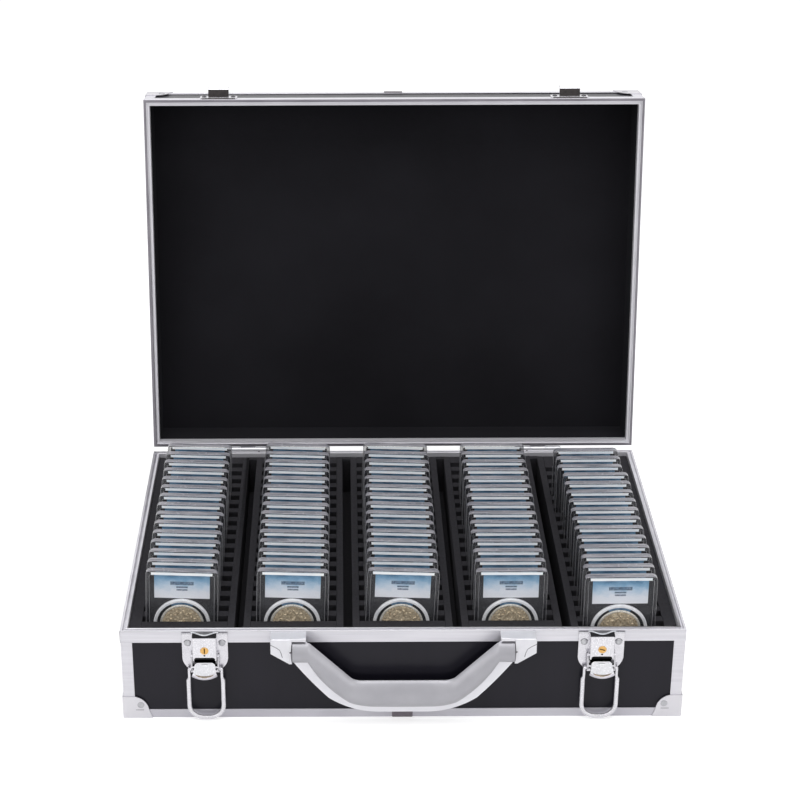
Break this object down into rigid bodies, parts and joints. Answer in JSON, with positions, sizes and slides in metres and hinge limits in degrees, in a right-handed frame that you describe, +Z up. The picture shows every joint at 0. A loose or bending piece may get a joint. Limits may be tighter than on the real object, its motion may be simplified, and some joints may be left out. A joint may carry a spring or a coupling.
{
  "type": "coin display case",
  "caption": "Aluminium-framed carrying case with a hinged lid, draw latches and a foam tray of slotted rows holding clear slabbed coins upright.",
  "frame": {"origin": "centre of the base's footprint, on the surface that the case rests on", "axes": "+X to the right along the front, +Y to the hinges at the back, +Z up"},
  "size_m": [0.4886, 0.4727, 0.449],
  "materials": {
    "board": "satin",
    "frame_aluminium": "satin",
    "cap_steel": "satin",
    "rivet_steel": "satin",
    "clip_steel": "satin",
    "foam": "matte",
    "lining_cloth": "matte",
    "hinge_steel": "satin",
    "latch_steel": "polished",
    "lock_brass": "satin",
    "handle_plastic": "satin",
    "grip_plastic": "satin",
    "holder_clear": "gloss",
    "coin_metal": "satin",
    "label_paper": "matte"
  },
  "bodies": {
    "base": {"base_wall_panels": "board", "base_floor_panel": "board", "base_rim": "frame_aluminium", "base_bottom_edging": "frame_aluminium", "base_corner_posts": "frame_aluminium", "base_corner_caps": "cap_steel", "base_cap_rivets": "rivet_steel", "base_edge_clip": "clip_steel", "foam_floor_pad": "foam", "foam_side_rails": "foam", "foam_slot_dividers": "foam", "hinge_base_leaves": "hinge_steel", "hinge_pins": "hinge_steel", "hinge_base_rivets": "rivet_steel", "latch_plates": "latch_steel", "lock_housings": "latch_steel", "latch_lever_pins": "latch_steel", "latch_rivets": "rivet_steel", "handle_brackets": "handle_plastic", "handle_pivot_pins": "latch_steel"},
    "lid": {"lid_wall_panels": "board", "lid_top_panel": "board", "lid_rim": "frame_aluminium", "lid_top_edging": "frame_aluminium", "lid_corner_posts": "frame_aluminium", "lid_corner_caps": "cap_steel", "lid_cap_rivets": "rivet_steel", "lid_edge_clip": "clip_steel", "lid_lining": "lining_cloth", "lid_catches": "latch_steel", "lid_catch_rivets": "rivet_steel", "hinge_lid_leaves": "hinge_steel", "hinge_lid_rivets": "rivet_steel"},
    "handle": {"handle_grip_shell": "grip_plastic", "handle_grip_plate": "handle_plastic"},
    "left_latch": {"left_latch_lever": "latch_steel"},
    "left_bail": {"left_latch_bail": "latch_steel"},
    "left_lock": {"left_lock_cylinder": "lock_brass"},
    "right_latch": {"right_latch_lever": "latch_steel"},
    "right_bail": {"right_latch_bail": "latch_steel"},
    "right_lock": {"right_lock_cylinder": "lock_brass"},
    "row_1": {"row_1_holders": "holder_clear", "row_1_coins": "coin_metal", "row_1_labels": "label_paper"},
    "row_2": {"row_2_holders": "holder_clear", "row_2_coins": "coin_metal", "row_2_labels": "label_paper"},
    "row_3": {"row_3_holders": "holder_clear", "row_3_coins": "coin_metal", "row_3_labels": "label_paper"},
    "row_4": {"row_4_holders": "holder_clear", "row_4_coins": "coin_metal", "row_4_labels": "label_paper"},
    "row_5": {"row_5_holders": "holder_clear", "row_5_coins": "coin_metal", "row_5_labels": "label_paper"}
  },
  "joints": [
    {"name": "lid_hinge", "type": "hinge", "parent": "base", "child": "lid", "pos_m": [0, 0.179, 0.08715], "axis": [-1, 0, 0], "range_deg": [-98, 0]},
    {"name": "handle_swing", "type": "hinge", "parent": "base", "child": "handle", "pos_m": [0, -0.187, 0.0735], "axis": [-1, 0, 0], "range_deg": [0, 90]},
    {"name": "left_lever_lift", "type": "hinge", "parent": "base", "child": "left_latch", "pos_m": [-0.17, -0.1814, 0.0654], "axis": [1, 0, 0], "range_deg": [-75, 0]},
    {"name": "left_bail_swing", "type": "hinge", "parent": "left_latch", "child": "left_bail", "pos_m": [-0.17, -0.1807, 0.052], "axis": [-1, 0, 0], "range_deg": [0, 178]},
    {"name": "left_key_turn", "type": "hinge", "parent": "base", "child": "left_lock", "pos_m": [-0.17, -0.1852, 0.073], "axis": [0, -1, 0], "range_deg": [0, 90]},
    {"name": "right_lever_lift", "type": "hinge", "parent": "base", "child": "right_latch", "pos_m": [0.17, -0.1814, 0.0654], "axis": [1, 0, 0], "range_deg": [-75, 0]},
    {"name": "right_bail_swing", "type": "hinge", "parent": "right_latch", "child": "right_bail", "pos_m": [0.17, -0.1807, 0.052], "axis": [-1, 0, 0], "range_deg": [0, 178]},
    {"name": "right_key_turn", "type": "hinge", "parent": "base", "child": "right_lock", "pos_m": [0.17, -0.1852, 0.073], "axis": [0, -1, 0], "range_deg": [-75, 15]},
    {"name": "row_1_lift", "type": "slide", "parent": "base", "child": "row_1", "axis": [0, 0, 1], "range_m": [0, 0.06]},
    {"name": "row_2_lift", "type": "slide", "parent": "base", "child": "row_2", "axis": [0, 0, 1], "range_m": [0, 0.06]},
    {"name": "row_3_lift", "type": "slide", "parent": "base", "child": "row_3", "axis": [0, 0, 1], "range_m": [0, 0.06]},
    {"name": "row_4_lift", "type": "slide", "parent": "base", "child": "row_4", "axis": [0, 0, 1], "range_m": [0, 0.06]},
    {"name": "row_5_lift", "type": "slide", "parent": "base", "child": "row_5", "axis": [0, 0, 1], "range_m": [0, 0.06]}
  ]
}
